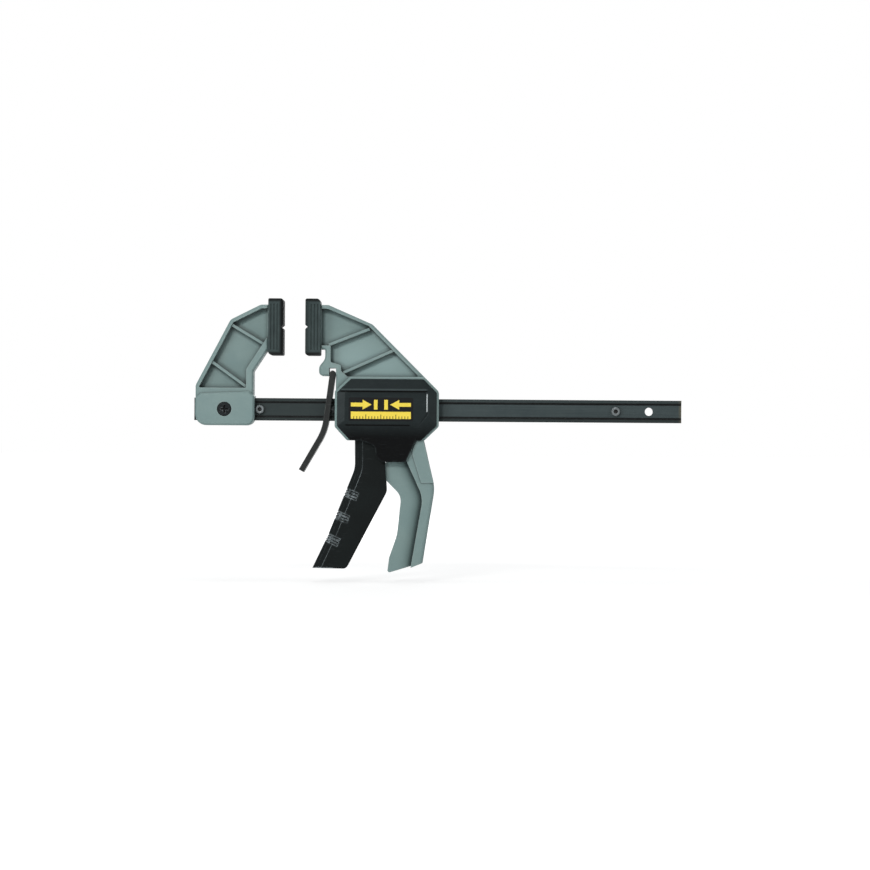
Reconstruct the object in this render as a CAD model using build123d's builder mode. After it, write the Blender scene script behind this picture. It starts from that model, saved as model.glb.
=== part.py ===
"""A quick release bar clamp: a one-hand trigger clamp on an I-section bar.

Millimetres, +Z up. X runs along the bar, from the fixed jaw to the free end, and Y across it.
The origin is the middle of the fixed pad's clamping face.
"""

import os
from math import atan2, cos, degrees, pi, radians, sin, tan

from build123d import *

os.makedirs("parts", exist_ok=True)

# Bar
bar_length = 380.0
bar_height = 17.5
bar_thickness = 6.5
bar_edge = 2.7  # height of each raised edge
bar_hollow = 1.0  # depth of the hollow between them
bar_stub = 1.4  # what shows of the bar behind the fixed jaw
spreader_hole_diameter = 6.4
spreader_hole_inset = 25.3  # from the bar's free end
stop_pin_diameter = 6.8
stop_pin_length = 13.0
stop_pin_bore = 3.4  # blind, in both ends
stop_pin_bore_depth = 2.4
stop_pin_edge = 0.5
rear_stop_inset = 51.4  # from the bar's free end
front_stop_gap = 0.5  # from the fixed jaw's block

# Jaws
reach = 64.2  # bar axis to the middle of the pads
opening = 17.0  # between the pads, as stored
pad_height = 44.0
pad_width = 29.0
pad_thickness = 11.8
pad_face = 5.0  # rubber in front of the jaw's head
pad_bevel = 2.6  # back along each side from the clamping face
pad_bevel_inset = 1.5
groove_depth = 1.9  # V groove across each pad
groove_height = 3.2
pad_flute_depth = 0.35  # fine flutes down each side of a pad
pad_flute_width = 0.9
pad_flute_pitch = 2.5
pad_flute_count = 3
pad_flute_margin = 4.2  # from the pad's ends
head_height = 34.4
head_width = 23.0
head_thickness = 4.0
neck_width = 18.6
neck_root = 0.6  # how far the neck runs into the arm
arm_width = 23.0
web_thickness = 4.0
rib_thickness = 2.1
rib_drop = 1.2  # how far the ribs lie below the rims
rim = 2.9
front_rim = 5.6  # along the throat, where the arm is pulled
edge_break = 1.3  # chamfer on the rims' outer edges

# Fixed jaw
throat_setback = 22.3  # pad face to the front of the block
block_length = 45.8
block_width = 27.0
block_floor = 3.9  # under the bar
block_roof = 5.2  # over the bar
arm_setback = 0.9  # arm behind the block's front
screw_setback = 23.3  # jaw screw, from the block's front
screw_diameter = 6.0
screw_head_diameter = 11.2
screw_head_height = 3.6
screw_edge = 0.6  # chamfer
screw_recess = 0.8
screw_slot = 6.2  # across the cross in its head
screw_slot_width = 1.5
screw_slot_depth = 2.2
washer_thickness = 1.0
nut_width = 10.0  # across its flats
nut_height = 4.6

# Arm of the moving jaw
slope_run = 14.4  # its 45 degree back meets the bar's axis this far behind the housing
brow_drop = 14.9  # from the arm's top to the corner of its back
crown_length = 6.1  # level top behind the pad
neck_setback = 3.8  # throat face behind the pad's head
hook_rise = 5.1  # over the brake lever's pivot
hook_lead = 0.9  # towards the fixed jaw
hook_drop = 2.0  # below the brake lever's pivot

# Housing of the moving jaw
housing_setback = 23.4  # moving pad's face to the front of the housing
housing_length = 80.9
housing_width = 31.0
housing_top = 25.8  # above the bar's axis
housing_floor = -23.8
housing_wall = 3.2
front_wall = 8.0
rear_wall = 8.0
roof_wall = 2.2
floor_wall = 2.6
corner_wall = 3.0
housing_edge = 1.0  # chamfer

# Handle
handle_length = 99.0  # below the housing's floor
blade_width = 16.0
spine_width = 27.0
spine_round = 3.0
fall_width = 11.5  # the blade's sides fall away in a curve towards the spine
fall_depth = 2.6
fall_overlap = 0.5  # under the spine
wedge_rise = 0.8  # the spine's thicker upper end, on each side

# Covers
cover_margin = 1.8  # border of the housing left around each cover
cover_rim = 1.5
cover_rise = 3.0
cover_skin = 2.0
label_recess = 0.9
peg_width = 3.0  # across its flats
peg_length = 4.8
peg_height = 11.3  # above and below the bar's axis
tab_drop = 16.6  # how far each cover hangs below the housing, beside the trigger
tab_play = 0.2  # beside the spine
tab_rise = 0.5  # over the cover's rim

# Trigger
pivot_setback = 31.1  # from the front of the housing
pivot_height = 17.8  # above the bar's axis
trigger_pin_diameter = 5.0
trigger_length = 99.8  # below the housing's floor
trigger_wall = 3.0
blade_play = 1.0  # the handle's blade inside the trigger
yoke_width = 20.0
yoke_gap = 9.2  # between the yoke's arms, over the bar
boss_diameter = 10.6
nose_diameter = 4.4
nose_drop = 5.8  # nose below the pivot
nose_lead = 4.3  # nose behind the pivot
grip_bevel = 6.0  # back along each side
grip_face = 17.0  # width left between the bevels
groove_width = 1.1  # finger grooves across the front
groove_pitch = 2.3
groove_cut = 0.6
groove_start = 44.0  # down the front, from its top
groove_group_pitch = 19.0

# Drive and brake
plate_thickness = 3.0
plate_top = 17.0
plate_bottom = -16.0
plate_count = 2
lug_height = 6.0  # stops at the plates' feet
lug_thickness = 2.4
drive_wire = 1.8
drive_coil_diameter = 21.2  # middle of the wire
drive_turns = 6
lever_thickness = 4.4
lever_width = 21.0
lever_tilt = 7.5  # degrees, as it rests
lever_bend = 22.5  # degrees more, below the bar
lever_bend_radius = 42.0
lever_upper = 45.0  # from its pivot to the bend's corner
lever_lower = 36.2
lever_setback = 2.0  # pivot in front of the housing
lever_pivot_height = 28.3
lever_headroom = 1.9  # over its round end
lever_notch_play = 0.45
brake_wire = 0.8
brake_coil_diameter = 4.7
brake_turns = 5
brake_spring_offset = 7.2  # from the bar's middle, across it
spring_seat_depth = 5.0
spring_seat_diameter = 6.2
runs_per_turn = 10  # of each spring's wire

# Clearances
slide_play = 0.3  # bar in the housing, and what moves between the housing's walls
plate_play = 0.25  # bar in the drive plates
lever_play = 0.65  # bar in the brake lever's slot
pin_play = 0.05  # trigger on its pin
seat_fit = 0.02  # pieces pressed together
touch = 0.05  # faces of moving pieces that rest on each other

# Places worked out from the sizes. Heights are above the bar's axis.
bar_start = -(throat_setback + block_length + bar_stub)
bar_end = bar_start + bar_length
half_bar = bar_height / 2
block_front = -throat_setback
block_back = block_front - block_length
screw_x = block_front - screw_setback
front_stop_x = block_front + front_stop_gap + stop_pin_diameter / 2
rear_stop_x = bar_end - rear_stop_inset
spreader_x = bar_end - spreader_hole_inset
tip_x = opening + pad_thickness
tip_top = reach + head_height / 2
tip_bottom = reach - head_height / 2
housing_front = opening + housing_setback
housing_rear = housing_front + housing_length
pivot_x = housing_front + pivot_setback
nose_z = pivot_height - nose_drop
nose_x = pivot_x + nose_lead + nose_diameter / 2
plates_x = nose_x + touch
plates_end = plates_x + plate_count * plate_thickness
lever_x = housing_front - lever_setback
cavity_half = housing_width / 2 - housing_wall
running_width = 2 * (cavity_half - slide_play)  # of the trigger and the drive plates
lug_gap = yoke_width / 2 + slide_play  # from the middle to the bosses and lugs inside the housing

side = Plane((0, 0, -reach), x_dir=(1, 0, 0), z_dir=(0, -1, 0))  # side view, on the bar's axis
along = Plane((0, 0, -reach), x_dir=(0, 1, 0), z_dir=(1, 0, 0))  # seen from the fixed end


def rounded_face(corners):
    """A face through corners of (x, z, radius), added to the sketch in hand."""
    with BuildLine() as loop:
        FilletPolyline([c[:2] for c in corners], radius=[c[2] for c in corners], close=True)
    make_face(loop.edges())


def inset(corners, walls, radius):
    """Corners of a pocket that leaves walls[i] along the edge after corner i, anticlockwise."""
    moved = []
    for i, (x, z, _) in enumerate(corners):
        before, after = corners[i - 1], corners[(i + 1) % len(corners)]
        d1 = Vector(x - before[0], z - before[1]).normalized()
        d2 = Vector(after[0] - x, after[1] - z).normalized()
        turn = d1.X * d2.Y - d1.Y * d2.X
        w1, w2 = walls[i - 1], walls[i]
        moved.append((x + (w1 * d2.X - w2 * d1.X) / turn, z + (w1 * d2.Y - w2 * d1.Y) / turn, radius))
    return moved


def strip(start, end, thickness, mode=Mode.ADD):
    """A straight strip between two points, such as a rib, in the sketch in hand."""
    run = Vector(*end) - Vector(*start)
    middle = Vector(*start) + run / 2
    with Locations((middle.X, middle.Y)):
        Rectangle(run.length, thickness, rotation=degrees(atan2(run.Y, run.X)), mode=mode)


def outer_edges():
    """The edges round the two outermost side faces of the part in hand."""
    across = faces().filter_by(Axis.Y).sort_by(Axis.Y)
    return across[0].edges() + across[-1].edges()


def finish(piece, name):
    """Label a piece and write its STEP file."""
    piece.part.label = name
    export_step(piece.part, f"parts/{name}.step")


# ---- The bar: a flat steel bar with raised edges, drilled for its screw, stop pins and spreader hole
with BuildPart() as bar:
    with BuildSketch(along.offset(bar_start)):
        Rectangle(bar_thickness, bar_height)
        with Locations((-bar_thickness / 2, 0), (bar_thickness / 2, 0)):
            Trapezoid(bar_height - 2 * bar_edge, bar_hollow, 45, rotation=90, mode=Mode.SUBTRACT)
    extrude(amount=bar_length)
    for x, diameter in (
        (screw_x, screw_diameter + 2 * seat_fit),
        (front_stop_x, stop_pin_diameter + 2 * seat_fit),
        (rear_stop_x, stop_pin_diameter + 2 * seat_fit),
        (spreader_x, spreader_hole_diameter),
    ):
        with BuildSketch(side):
            with Locations((x, 0)):
                Circle(diameter / 2)
        extrude(amount=bar_thickness, both=True, mode=Mode.SUBTRACT)
finish(bar, "bar")


def stop_pin(x, name):
    """A pin pressed through the bar, drilled a little way in from both ends."""
    with BuildPart() as pin:
        with BuildSketch(side):
            with Locations((x, 0)):
                Circle(stop_pin_diameter / 2)
        extrude(amount=stop_pin_length / 2, both=True)
        chamfer(outer_edges(), stop_pin_edge)
        ends = faces().filter_by(Axis.Y).sort_by(Axis.Y)
        for end in (ends[0], ends[-1]):
            with Locations(end):
                Hole(stop_pin_bore / 2, stop_pin_bore_depth)
    finish(pin, name)


stop_pin(front_stop_x, "front_stop_pin")
stop_pin(rear_stop_x, "rear_stop_pin")


# ---- The pads: each is pushed over its jaw's head. The two are one piece, the moving one turned half round
def pad(face, name):
    """A pad whose face plane has its outward direction as x."""
    outline = [
        (-pad_thickness, -pad_height / 2, 3.0),
        (0, -pad_height / 2, 1.2),
        (0, pad_height / 2, 2.2),
        (-pad_thickness, pad_height / 2, 1.2),
    ]
    bevelled = [
        (-pad_thickness, -pad_width / 2),
        (-pad_bevel, -pad_width / 2),
        (0, pad_bevel_inset - pad_width / 2),
        (0, pad_width / 2 - pad_bevel_inset),
        (-pad_bevel, pad_width / 2),
        (-pad_thickness, pad_width / 2),
    ]
    with BuildPart() as piece:
        with BuildSketch(face):
            rounded_face(outline)
        extrude(amount=pad_width / 2, both=True)
        with BuildSketch(Plane(face.origin, x_dir=face.x_dir, z_dir=face.y_dir)):
            with BuildLine():
                Polyline(*bevelled, close=True)
            make_face()
        extrude(amount=pad_height / 2, both=True, mode=Mode.INTERSECT)
        with BuildSketch(face):
            with BuildLine():
                Polyline((0, -groove_height / 2), (-groove_depth, 0), (0, groove_height / 2), close=True)
            make_face()
        extrude(amount=pad_width, both=True, mode=Mode.SUBTRACT)
        for hand in (-1, 1):
            with BuildSketch(face.offset(hand * pad_width / 2)):
                with Locations((-(pad_thickness + pad_bevel) / 2, 0)):
                    with GridLocations(pad_flute_pitch, 0, pad_flute_count, 1):
                        Rectangle(pad_flute_width, pad_height - 2 * pad_flute_margin)
            extrude(amount=-hand * pad_flute_depth, mode=Mode.SUBTRACT)
        for back, front, width in (
            (-pad_face - head_thickness, -pad_face + seat_fit, head_width + 2 * seat_fit),
            (-pad_thickness, -pad_face, neck_width + 2 * seat_fit),
        ):
            with BuildSketch(face):
                with Locations(((back + front) / 2, 0)):
                    Rectangle(front - back, head_height + 2 * seat_fit)
            extrude(amount=width / 2, both=True, mode=Mode.SUBTRACT)
    finish(piece, name)


pad(Plane.XZ, "fixed_jaw_pad")
pad(Plane((opening, 0, 0), x_dir=(-1, 0, 0), z_dir=(0, -1, 0)), "moving_jaw_pad")


# ---- What the two jaws share
def ribbed_arm(outline, pocket, ribs):
    """An I-section arm: rims round a thin web, with ribs lower than the rims across it."""
    with BuildSketch(side) as whole:
        rounded_face(outline)
    extrude(whole.sketch, amount=arm_width / 2, both=True)
    chamfer(faces().filter_by(Axis.Y).edges(), edge_break)
    with BuildSketch(side) as hollow:
        rounded_face(pocket)
    with BuildSketch(side) as cells:
        rounded_face(pocket)
        for start, end in ribs:
            strip(start, end, rib_thickness, Mode.SUBTRACT)
    for region, half in ((hollow, arm_width / 2 - rib_drop), (cells, web_thickness / 2)):
        extrude(region.sketch, amount=arm_width / 2, both=True, mode=Mode.SUBTRACT)
        extrude(region.sketch, amount=half, both=True)


def jaw_head(tip, outward):
    """The head that the pad goes over, on a neck that the pad's lips close behind."""
    neck_end = tip + outward * (pad_thickness - pad_face - head_thickness)
    head_end = neck_end + outward * head_thickness
    root = tip - outward * neck_root
    for start, end, width in ((root, neck_end, neck_width), (neck_end, head_end, head_width)):
        with BuildSketch(side) as section:
            with Locations(((start + end) / 2, reach)):
                Rectangle(abs(end - start), head_height)
        extrude(section.sketch, amount=width / 2, both=True)


# ---- Fixed jaw: a ribbed arm on a block that is screwed to the bar
block_bottom = -half_bar - block_floor
block_top = half_bar + block_roof
fixed_tip = -pad_thickness
arm_front = block_front - arm_setback
hip_z, knee_z = 18.5, 29.5  # corners of the arm's back and front, above the bar's axis
shoulder = (-41.2, tip_top - 11.8)
brow_x = -17.7
fixed_outline = [
    (block_back, 0, 0),
    (arm_front, 0, 0),
    (arm_front, knee_z, 3.0),
    (fixed_tip, tip_bottom, 0),
    (fixed_tip, tip_top, 0),
    (brow_x, tip_top, 6.0),
    (*shoulder, 6.0),
    (block_back, hip_z, 6.0),
]
pocket_floor = 16.6
fixed_pocket = inset(
    [(block_back, pocket_floor, 0), (arm_front, pocket_floor, 0), *fixed_outline[2:]],
    [0, front_rim, front_rim, 0, rim, rim, rim, rim],
    0.8,
)
fixed_ribs = [
    ((shoulder[0], shoulder[1] - 3.5), (fixed_tip - 2.0, tip_bottom + 2.8)),
    ((shoulder[0] - 15.5, shoulder[1] - 32.0), (arm_front - 5.0, pocket_floor + 0.5)),
]
with BuildPart() as fixed_jaw:
    ribbed_arm(fixed_outline, fixed_pocket, fixed_ribs)
    with BuildSketch(side):
        rounded_face(
            [
                (block_back, block_bottom, 8.5),
                (block_front, block_bottom, 6.5),
                (block_front, block_top - 3.5, 2.0),
                (block_front - 4.2, block_top, 2.0),
                (block_back + 4.0, block_top - 1.6, 2.0),
                (block_back, block_top - 5.0, 2.0),
            ]
        )
    extrude(amount=block_width / 2, both=True)
    chamfer(outer_edges(), edge_break)
    jaw_head(fixed_tip, 1)
    with BuildSketch(along.offset(block_back - 1)):
        Rectangle(bar_thickness + 2 * seat_fit, bar_height + 2 * seat_fit)
    extrude(amount=block_length + 2, mode=Mode.SUBTRACT)
    with BuildSketch(side):
        with Locations((screw_x, 0)):
            Circle(screw_diameter / 2 + seat_fit)
    extrude(amount=block_width, both=True, mode=Mode.SUBTRACT)
    with BuildSketch(side.offset(block_width / 2)):
        with Locations((screw_x, 0)):
            Circle(screw_head_diameter / 2 + seat_fit)
    extrude(amount=-(screw_recess + screw_head_height + washer_thickness), mode=Mode.SUBTRACT)
    with BuildSketch(side.offset(-block_width / 2)):
        with Locations((screw_x, 0)):
            RegularPolygon(nut_width / 2 + seat_fit, 6, major_radius=False)
    extrude(amount=nut_height + screw_recess, mode=Mode.SUBTRACT)
finish(fixed_jaw, "fixed_jaw")

with BuildPart() as jaw_screw:
    with BuildSketch(side.offset(block_width / 2 - screw_recess - screw_head_height)):
        with Locations((screw_x, 0)):
            Circle(screw_head_diameter / 2)
    extrude(amount=screw_head_height)
    chamfer(faces().sort_by(Axis.Y)[0].edges(), screw_edge)
    with BuildSketch(side.offset(block_width / 2 - screw_recess)):
        with Locations((screw_x, 0)):
            Rectangle(screw_slot, screw_slot_width)
            Rectangle(screw_slot_width, screw_slot)
    extrude(amount=-screw_slot_depth, mode=Mode.SUBTRACT)
    with BuildSketch(side.offset(-block_width / 2 + screw_recess + seat_fit)):
        with Locations((screw_x, 0)):
            Circle(screw_diameter / 2)
    extrude(amount=block_width - 2 * screw_recess - screw_head_height)
finish(jaw_screw, "jaw_screw")

with BuildPart() as jaw_washer:
    with BuildSketch(side.offset(block_width / 2 - screw_recess - screw_head_height)):
        with Locations((screw_x, 0)):
            Circle(screw_head_diameter / 2)
            Circle(screw_diameter / 2 + seat_fit, mode=Mode.SUBTRACT)
    extrude(amount=-washer_thickness)
finish(jaw_washer, "jaw_washer")

with BuildPart() as jaw_nut:
    with BuildSketch(side.offset(-block_width / 2 + screw_recess)):
        with Locations((screw_x, 0)):
            RegularPolygon(nut_width / 2, 6, major_radius=False)
            Circle(screw_diameter / 2 + seat_fit, mode=Mode.SUBTRACT)
    extrude(amount=nut_height)
finish(jaw_nut, "jaw_nut")


# ---- Moving jaw: arm, housing and handle in one moulding, open below for the trigger
slope = housing_rear + slope_run  # x + z anywhere on the arm's back
pocket_slope = slope - rim * 2**0.5
brow_z = tip_top - brow_drop
hook_top = lever_pivot_height + hook_rise
hook_bottom = lever_pivot_height - hook_drop
throat_x = tip_x + neck_setback
throat_z = (hook_top + tip_bottom) / 2 - hook_lead
arm_outline = [
    (housing_front + edge_break / 2, 0, 0),
    (housing_rear, 0, 0),
    (housing_rear, slope - housing_rear, 5.0),
    (slope - brow_z, brow_z, 7.0),
    (tip_x + crown_length, tip_top, 2.0),
    (tip_x, tip_top, 0),
    (tip_x, tip_bottom, 0),
    (throat_x, tip_bottom, 1.4),
    (throat_x, throat_z, 7.0),
    (tip_x - hook_lead, hook_top, 5.0),
    (tip_x - hook_lead, hook_bottom, 3.2),
    (housing_front + edge_break / 2, hook_bottom, 0),
]
arm_pocket = [
    (housing_front + 9.6, housing_top, 0.8),
    (pocket_slope - housing_top, housing_top, 0.8),
    (pocket_slope - brow_z + 1.2, brow_z - 1.2, 4.0),
    (tip_x + crown_length - rim / 4, tip_top - rim, 1.0),
    (tip_x, tip_top - rim, 0),
    (tip_x, tip_bottom + rim, 0),
    (throat_x + 4.2, tip_bottom + rim, 0.8),
    (throat_x + 4.2, hook_top + 3.6, 1.5),
    (housing_front + 4.6, hook_top + 1.2, 1.5),
    (housing_front + 4.6, hook_top - 3.2, 1.5),
]
lower_rib_z = tip_bottom - 0.4
arm_ribs = [
    ((tip_x + 6.5, tip_bottom + 3.4), (slope - brow_z - 2.2, brow_z - 3.6)),
    ((housing_front + 6.4, housing_top + 3.0), (slope - lower_rib_z - rim, lower_rib_z)),
]
housing_outline = [
    (housing_front + 9.6, housing_floor, 2.0),
    (housing_rear - 11.4, housing_floor, 2.0),
    (housing_rear, housing_floor + 11.0, 3.0),
    (housing_rear, slope - housing_rear, 5.0),
    (slope - housing_top, housing_top, 1.5),
    (housing_front + 11.9, housing_top, 1.5),
    (housing_front, housing_top - 11.4, 2.0),
    (housing_front, housing_floor + 10.4, 3.0),
]
cavity = inset(
    housing_outline,
    [floor_wall, corner_wall, rear_wall, corner_wall, roof_wall, corner_wall, front_wall, corner_wall],
    1.0,
)
mouth_start = housing_front + 14.8  # the opening under the housing that the trigger swings in
mouth_end = housing_front + 52.1

# The handle, measured from the housing's rear corner
heel_x, heel_z = housing_rear, housing_floor
handle_foot = housing_floor - handle_length
blade_outline = [
    (heel_x - 25.0, heel_z - 2.0, 0),
    (heel_x - 42.4, heel_z - 18.2, 1.0),
    (heel_x - 42.4, heel_z - 29.3, 2.0),
    (heel_x - 28.9, heel_z - 43.0, 11.0),
    (heel_x - 32.0, heel_z - 73.4, 30.0),
    (heel_x - 38.0, handle_foot + 8.0, 8.0),
    (heel_x - 39.5, handle_foot - 4.2, 1.6),
    (heel_x - 21.0, handle_foot + 1.4, 0),
    (heel_x - 6.0, heel_z - 40.0, 0),
    (heel_x - 14.0, heel_z + 6.0, 0),
    (heel_x - 25.0, heel_z + 2.0, 0),
]
spine_outline = [
    (heel_x - 25.8, heel_z + 2.0, 0),
    (heel_x - 25.8, heel_z - 14.0, 6.0),
    (heel_x - 12.0, heel_z - 44.2, 22.0),
    (heel_x - 21.3, handle_foot + 0.2, 0),
    (heel_x - 11.9, handle_foot + 4.0, 0),
    (heel_x - 2.7, heel_z - 36.7, 30.0),
    (heel_x - 11.4, heel_z, 0),
    (heel_x - 12.0, heel_z + 2.0, 0),
]
fall_path = [
    (heel_x - 25.8, heel_z),
    (heel_x - 25.8, heel_z - 14.0),
    (heel_x - 12.0, heel_z - 44.2),
    (heel_x - 22.7, handle_foot - 8.0),
]
wedge_outline = [
    (heel_x - 11.4, heel_z + 2.0, 0),
    (heel_x - 17.4, heel_z + 2.0, 0),
    (heel_x - 17.4, heel_z, 0),
    (heel_x - 20.4, heel_z - 7.0, 0),
    (heel_x - 20.4, heel_z - 11.0, 6.0),
    (heel_x - 13.5, heel_z - 32.8, 0),
    (heel_x - 3.8, heel_z - 32.8, 0),
    (heel_x - 11.8, heel_z, 0),
]

with BuildPart() as spine:
    with BuildSketch(side):
        rounded_face(spine_outline)
    extrude(amount=spine_width / 2, both=True)
    fillet([e for e in outer_edges() if e.center().X > heel_x - 10], spine_round)

with BuildPart() as handle:
    with BuildSketch(side):
        rounded_face(blade_outline)
    extrude(amount=blade_width / 2, both=True)
    for hand in (-1, 1):
        with BuildLine(side.offset(hand * blade_width / 2)) as fall:
            FilletPolyline(fall_path, radius=[8.0, 22.0])
        across = Plane(fall.line @ 0, x_dir=(-1, 0, 0), z_dir=fall.line % 0)
        inward = hand if across.y_dir.Y > 0 else -hand
        with BuildSketch(across):
            with BuildLine():
                crest = (fall_width, 0)
                foot = (-fall_overlap, inward * fall_depth)
                bend = TangentArc(crest, foot, tangent=(-1, 0))
                Polyline(bend @ 1, (-fall_overlap, -inward), (fall_width, -inward), bend @ 0)
            make_face()
        sweep(path=fall.line, mode=Mode.SUBTRACT)
    add(spine.part)
    with BuildSketch(side):
        rounded_face(wedge_outline)
    extrude(amount=spine_width / 2 + wedge_rise, both=True)

with BuildPart() as housing:
    with BuildSketch(side):
        rounded_face(housing_outline)
    extrude(amount=housing_width / 2, both=True)
    chamfer(outer_edges(), housing_edge)

peg_places = ((housing_front + front_wall * 0.6, peg_height), (housing_rear - rear_wall / 2, peg_height))
peg_places += tuple((x, -z) for x, z in peg_places)

with BuildPart() as moving_jaw:
    ribbed_arm(arm_outline, arm_pocket, arm_ribs)
    jaw_head(tip_x, -1)
    add(housing.part)
    add(handle.part)
    with BuildSketch(side):
        rounded_face(cavity)
        with Locations(((mouth_start + mouth_end) / 2, housing_floor)):
            Rectangle(mouth_end - mouth_start, 4 * floor_wall)
    extrude(amount=cavity_half, both=True, mode=Mode.SUBTRACT)
    for hand in (-1, 1):
        with BuildSketch(side.offset(hand * lug_gap)):
            with Locations((pivot_x, pivot_height)):
                Circle(boss_diameter / 2)
            with Locations((plates_x - touch - lug_thickness / 2, plate_bottom + lug_height / 2)):
                Rectangle(lug_thickness, lug_height)
        extrude(amount=hand * (cavity_half - lug_gap + housing_wall / 2))
    with BuildSketch(side):
        with Locations((pivot_x, pivot_height)):
            Circle(trigger_pin_diameter / 2 + seat_fit)
    extrude(amount=housing_width, both=True, mode=Mode.SUBTRACT)
    for hand in (-1, 1):
        with BuildSketch(side.offset(hand * housing_width / 2)):
            with Locations(*peg_places):
                RegularPolygon(peg_width / 2 + seat_fit, 6, major_radius=False)
        extrude(amount=-hand * (peg_length + touch), mode=Mode.SUBTRACT)
    with BuildSketch(along.offset(housing_front - 1)):
        Rectangle(bar_thickness + 2 * slide_play, bar_height + 2 * slide_play)
    extrude(amount=housing_length + 2, mode=Mode.SUBTRACT)
    with BuildSketch(side):
        with Locations((lever_x, lever_pivot_height - lever_thickness)):
            Rectangle(lever_thickness + 2 * lever_notch_play, 2 * (lever_thickness * 1.5 + lever_headroom))
    extrude(amount=arm_width, both=True, mode=Mode.SUBTRACT)
    with BuildSketch(along.offset(housing_front)):
        with Locations((-brake_spring_offset, 0), (brake_spring_offset, 0)):
            Circle(spring_seat_diameter / 2)
    extrude(amount=spring_seat_depth, mode=Mode.SUBTRACT)
finish(moving_jaw, "moving_jaw")


# ---- Covers: a bevelled shell with a sunk panel and a tab beside the trigger, pegged to the housing
cover_outline = inset(housing_outline, [0.0] + 7 * [cover_margin], 1.0)
crest_outline = inset(cover_outline, [16.0, 10.7, 6.5, 5.2, 9.4, 6.2, 8.7, 10.7], 0.4)
cover_hollow = inset(cover_outline, [8.0, 6.0, 6.0, 6.0, 5.0, 6.0, 6.0, 6.0], 1.0)
panel_top = housing_top - 11.7
panel_end = housing_rear - 8.7
panel_outline = [
    (housing_front, housing_floor - 2.0, 0),
    (panel_end - 17.0, housing_floor - 2.0, 0),
    (panel_end, housing_floor + 20.5, 2.0),
    (panel_end, panel_top - 2.2, 0),
    (panel_end - 2.2, panel_top, 0),
    (housing_front, panel_top, 0),
]
tab_outline = [
    (housing_rear - 18.0, housing_floor + 7.0, 0),
    (housing_front + 20.4, housing_floor + 7.0, 0),
    (housing_front + 20.4, housing_floor, 0),
    (housing_front + 31.6, housing_floor - 3.7, 6.0),
    (housing_front + 32.1, housing_floor - 12.2, 5.0),
    (housing_front + 36.6, housing_floor - tab_drop, 2.0),
    (housing_rear - 25.8, housing_floor - tab_drop, 3.0),
    (housing_rear - 18.0, housing_floor, 0),
]
tab_inner = spine_width / 2 + tab_play
cover_base = housing_width / 2

with BuildPart() as front_cover:
    with BuildSketch(side.offset(tab_inner)):
        rounded_face(tab_outline)
    extrude(amount=cover_base + cover_rim + tab_rise - tab_inner)
    with BuildSketch(side.offset(tab_inner)):
        rounded_face(housing_outline)
    extrude(amount=cover_base - tab_inner, mode=Mode.SUBTRACT)
    with BuildSketch(side.offset(cover_base)):
        rounded_face(cover_outline)
    extrude(amount=cover_rim)
    with BuildSketch(side.offset(cover_base + cover_rim)):
        rounded_face(cover_outline)
    with BuildSketch(side.offset(cover_base + cover_rim + cover_rise)):
        rounded_face(crest_outline)
    loft(ruled=True)
    with BuildSketch(side.offset(cover_base + cover_rim + cover_rise)):
        rounded_face(panel_outline)
    extrude(amount=-label_recess, mode=Mode.SUBTRACT)
    with BuildSketch(side.offset(cover_base)):
        rounded_face(cover_hollow)
    extrude(amount=cover_rim + cover_rise - label_recess - cover_skin, mode=Mode.SUBTRACT)
    with BuildSketch(side.offset(cover_base)):
        with Locations(*peg_places):
            RegularPolygon(peg_width / 2, 6, major_radius=False)
    extrude(amount=-peg_length)
finish(front_cover, "front_cover")

with BuildPart() as rear_cover:
    mirror(front_cover.part, about=Plane.XZ)
finish(rear_cover, "rear_cover")


# ---- Trigger: a channel that closes round the handle's blade, with a yoke over the bar and a nose on it
root_x, root_z = pivot_x, housing_floor  # the trigger's outline is measured from here
trigger_foot = root_z - trigger_length
trigger_rear = [
    (root_x - 21.6, trigger_foot, 4.0),
    (root_x + 9.6, root_z - 39.9, 9.0),
    (root_x + 7.2, root_z - 3.7, 1.0),
    (root_x - 2.0, root_z + 4.8, 0),
]
trigger_front = [
    (root_x - 15.5, root_z + 4.8, 0),
    (root_x - 15.2, root_z - 21.7, 25.0),
    (root_x - 35.9, root_z - 73.7, 60.0),
    (root_x - 47.9, trigger_foot + 0.4, 0),
]
channel_outline = inset(
    [
        (root_x + 20.0, root_z - 10.1, 0),
        (root_x - 15.3, root_z + 1.6, 0),
        *trigger_front[1:],
        (root_x - 29.5, trigger_foot + 0.1, 0),
        (root_x - 29.5, trigger_foot - 6.2, 0),
        (root_x + 20.0, trigger_foot - 6.2, 0),
    ],
    5 * [trigger_wall] + 3 * [0.0],
    0.8,
)
nose_bottom = nose_z - nose_diameter / 2
yoke_outline = [
    (root_x - 15.5, root_z + 2.0),
    (root_x - 2.0, root_z + 2.0),
    (root_x - 2.0, root_z + 6.8),
    (root_x + 2.8, 2.0),
    (nose_x - 0.2, nose_z),
    (pivot_x + boss_diameter / 2 - 0.1, pivot_height),
    (pivot_x - boss_diameter / 2 + 0.1, pivot_height),
    (root_x - 13.5, -4.0),
]
yoke_slot = [
    (root_x - 20.0, root_z + 4.8),
    (root_x + 12.0, root_z + 4.8),
    (root_x + 12.0, nose_bottom),
    (root_x - 1.0, nose_bottom),
    (root_x - 6.0, nose_bottom + 4.2),
    (root_x - 20.0, nose_bottom + 4.2),
]
groove_reach = grip_bevel + 4.0
groove_floor = [
    (groove_cut, grip_face / 2 - groove_cut / 2),
    (grip_bevel + groove_cut / 2, running_width / 2 - groove_cut),
    (groove_reach + 2.0, running_width / 2 - groove_cut),
    (groove_reach + 2.0, groove_cut - running_width / 2),
    (grip_bevel + groove_cut / 2, groove_cut - running_width / 2),
    (groove_cut, groove_cut / 2 - grip_face / 2),
]
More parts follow.
